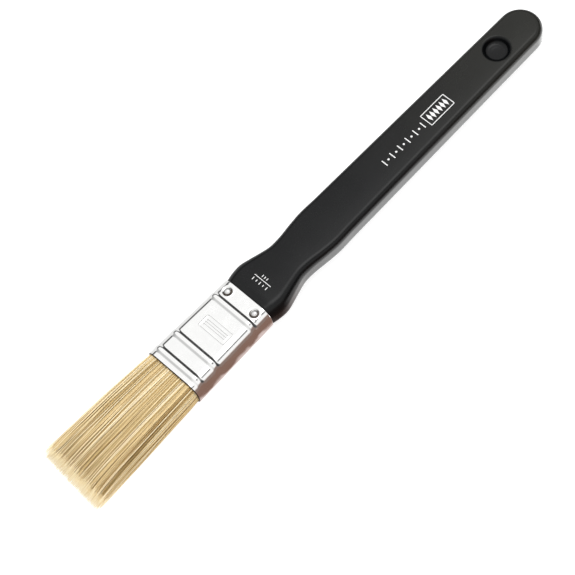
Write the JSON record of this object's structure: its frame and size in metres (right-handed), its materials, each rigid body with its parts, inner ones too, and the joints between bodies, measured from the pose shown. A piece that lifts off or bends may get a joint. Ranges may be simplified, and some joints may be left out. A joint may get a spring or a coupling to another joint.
{
  "type": "flat paint brush",
  "caption": "Flat varnish brush with a black lacquered paddle handle, a beaded plated ferrule and blond synthetic filaments that flex at the mouth of the ferrule.",
  "frame": {"origin": "bottom centre of the bounding box of the brush lying on its back", "axes": "+X along the brush from the bristle tips to the end of the handle, +Y across the width, +Z out of the front face"},
  "size_m": [0.2475, 0.028, 0.0132],
  "materials": {
    "handle_lacquer": "satin black lacquer over wood",
    "ferrule_plate": "bright nickel plate",
    "nail_steel": "bright nickel plate",
    "filament": "blond synthetic filament",
    "epoxy": "amber resin",
    "spacer_wood": "raw wood strip",
    "print_ink": "pale screen-printed ink"
  },
  "bodies": {
    "handle_body": {"handle": "handle_lacquer", "ferrule": "ferrule_plate", "front_nails": "nail_steel", "back_nails": "nail_steel", "filament_spacer": "spacer_wood", "epoxy_setting": "epoxy", "front_filament_roots": "filament", "back_filament_roots": "filament"},
    "bristle_body": {"front_bristles": "filament", "back_bristles": "filament"}
  },
  "joints": [
    {"name": "bristle_flex", "type": "hinge", "parent": "handle_body", "child": "bristle_body", "pos_m": [-0.07355, 0, 0.0066], "axis": [0, 1, 0], "range_deg": [-30, 30], "stiffness_Nm_per_rad": 0.3}
  ]
}
